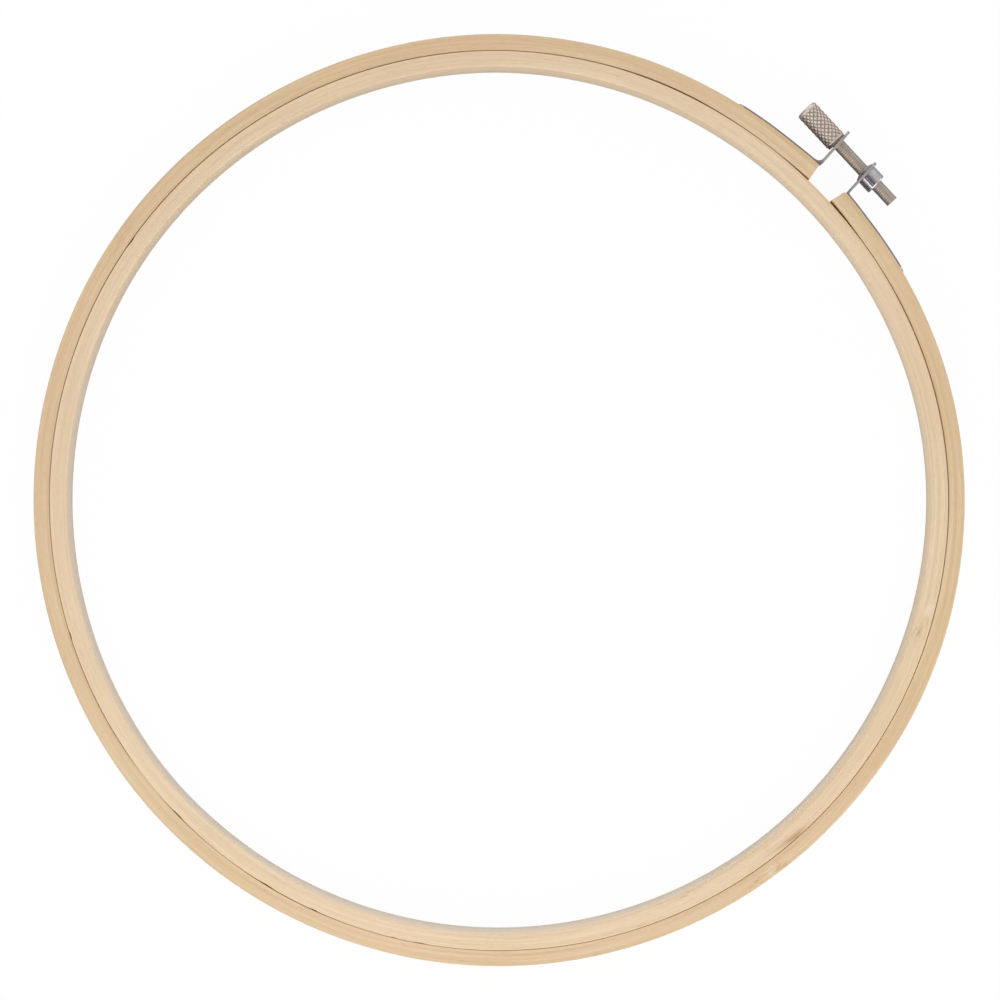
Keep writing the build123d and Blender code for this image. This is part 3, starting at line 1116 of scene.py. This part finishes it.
def strip_path(side, ear_distance, lean, rise, bend_radius, foot_sheet):
    """Places along a strip's middle, each with the direction across it and half its thickness."""
    across, up_ear = ear_directions(side, lean)
    ear_middle = screw_middle + screw_line * (side * ear_distance)
    bend_line = bend_radius + foot_sheet / 2
    start_line = plate_line(plate_turn(side, ear_distance))
    bend_centre = onto_circle(ear_middle + across * bend_line, up_ear, start_line + bend_line)
    tip = ear_middle + up_ear * rise
    straight = (tip - bend_centre).dot(up_ear)
    path = []
    quarter = [math.pi / 2 * step / bend_steps for step in range(bend_steps + 1)]
    corner = [corner_radius * (1 - math.cos(turn)) for turn in quarter[2:]]
    for distance in [0.0, sheet_easing, *corner, corner_radius * 1.5]:
        path.append((tip - up_ear * distance, across, ear_sheet / 2))
    path.append((tip - up_ear * straight, across, foot_sheet / 2))
    start = -across
    end = -bend_centre.normalized()
    for step in range(1, bend_steps + 1):
        arm = start.slerp(end, step / bend_steps)
        half = (foot_sheet + (plate_sheet - foot_sheet) * step / bend_steps) / 2
        path.append((bend_centre + arm * bend_line, -arm, half))
    first = math.atan2(bend_centre.x, bend_centre.y)
    last = plate_turn(side, plate_reach)
    rest = abs(last - first) * start_line
    even = [rest * step / plate_steps for step in range(1, plate_steps - 1)]
    last_corner = [rest - distance for distance in corner]
    for distance in sorted([*even, *last_corner, rest - sheet_easing, rest]):
        turn = first + (last - first) * distance / rest
        path.append((outward_at(turn) * plate_line(turn), outward_at(turn), plate_sheet / 2))
    return path


# %% Holes in a strip
first_tack = 14.0 * MM
tack_spacing = 9.0 * MM
tack_count = 2
hole_reach = 1.5 * MM
hole_columns = 32


def tack_turn(side, number):
    """Angle from the cut to a tack, in radians."""
    return plate_turn(side, first_tack + number * tack_spacing)


def punch(piece, middle, line, radius):
    """Punches a round hole through a piece."""
    sideways = line.cross(UP)
    radii = [radius] * hole_columns
    rings = [turned_ring(middle, line, sideways, along, radii) for along in (-hole_reach, hole_reach)]
    cutter = skin("cutter", rings, piece.data.materials[0])
    hole = piece.modifiers.new("hole", "BOOLEAN")
    hole.operation = "DIFFERENCE"
    hole.solver = "EXACT"
    hole.object = cutter
    bpy.context.view_layer.update()
    cut = bpy.data.meshes.new_from_object(piece.evaluated_get(bpy.context.evaluated_depsgraph_get()))
    piece.modifiers.clear()
    piece.data = cut
    bpy.data.objects.remove(cutter)


# %% The two brackets
def bracket(name, side, ear_distance, lean, rise, bend_radius, foot_sheet, hole, hole_line):
    """A strip from its ear's tip to its plate's end, with its holes."""
    path = strip_path(side, ear_distance, lean, rise, bend_radius, foot_sheet)
    lengths = [0.0]
    for before, here in zip(path, path[1:]):
        lengths.append(lengths[-1] + (here[0] - before[0]).length)
    rings = []
    for (place, across, thick), length in zip(path, lengths):
        from_end = min(length, lengths[-1] - length)
        drawn_in = max(0.0, sheet_easing - from_end)
        half = corner_half_width(from_end) - drawn_in
        section = eased_section(drawn_in - thick, thick - drawn_in, -half, half, [sheet_easing] * 4)
        rings.append([(place + across * out + UP * height)[:] for out, height in section])
    made = skin(name, rings, bracket_zinc)
    punch(made, screw_middle + screw_line * (side * ear_distance), hole_line, hole)
    for number in range(tack_count):
        turn = tack_turn(side, number)
        punch(made, outward_at(turn) * plate_line(turn), outward_at(turn), tack_hole)
    sharpen(made, 40)
    print(name, len(made.data.vertices), "points")
    return made


HEAD_SIDE = -1
NUT_SIDE = 1
head_strip = bracket(
    "strip_at_the_head", HEAD_SIDE, ear_distance=5.4 * MM, lean=4.2, rise=4.0 * MM, bend_radius=1.7 * MM,
    foot_sheet=0.78 * MM, hole=screw_hole, hole_line=screw_line,
)
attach(head_strip, "head_half")
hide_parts("head_bracket")
nut_strip = bracket(
    "strip_at_the_nut", NUT_SIDE, ear_distance=nut_ear_distance, lean=nut_ear_lean, rise=3.55 * MM,
    bend_radius=0.4 * MM, foot_sheet=0.52 * MM, hole=nut_hole,
    hole_line=ear_directions(NUT_SIDE, nut_ear_lean)[0],
)
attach(nut_strip, "nut_half")
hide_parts("nut_bracket")

# %% [markdown]
# ## Tacks
# Two round-headed tacks hold each plate to the wood. The photograph doesn't show them, so they are a guess
# from how such brackets are fastened: a low dome over a pointed shank, turned about a line that points out
# of the wood.

# %% Tacks
tack_head = 1.1 * MM
tack_rise = 0.5 * MM
tack_shank = 0.5 * MM
tack_length = 3.8 * MM
tack_point = 0.8 * MM
tack_tip = 0.05 * MM
dome_shares = (0.08, 0.25, 0.45, 0.65, 0.82, 0.94, 1.0)
dome_radius = (tack_head**2 + tack_rise**2) / (2 * tack_rise)
tack_columns = 40

dome = []
for share in dome_shares:
    reach = tack_head * share
    dome.append((tack_rise - dome_radius + math.sqrt(dome_radius**2 - reach**2), reach))
shaft = [(0.0, tack_shank), (tack_point - tack_length, tack_shank), (-tack_length, tack_tip)]
sides = [(HEAD_SIDE, "head_half", "head_bracket_tack"), (NUT_SIDE, "nut_half", "nut_bracket_tack")]
for side, body, node in sides:
    for number in range(tack_count):
        turn = tack_turn(side, number)
        outward = outward_at(turn)
        face = outward * (plate_line(turn) + plate_sheet / 2)
        rings = [
            turned_ring(face, outward, UP, along, [radius] * tack_columns) for along, radius in dome + shaft
        ]
        tack = skin(f"round_headed_{node}_{number + 1}", rings, tack_steel)
        sharpen(tack, 45)
        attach(tack, body)
        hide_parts(f"{node}_{number + 1}")
print("tacks", tack_count * 2)
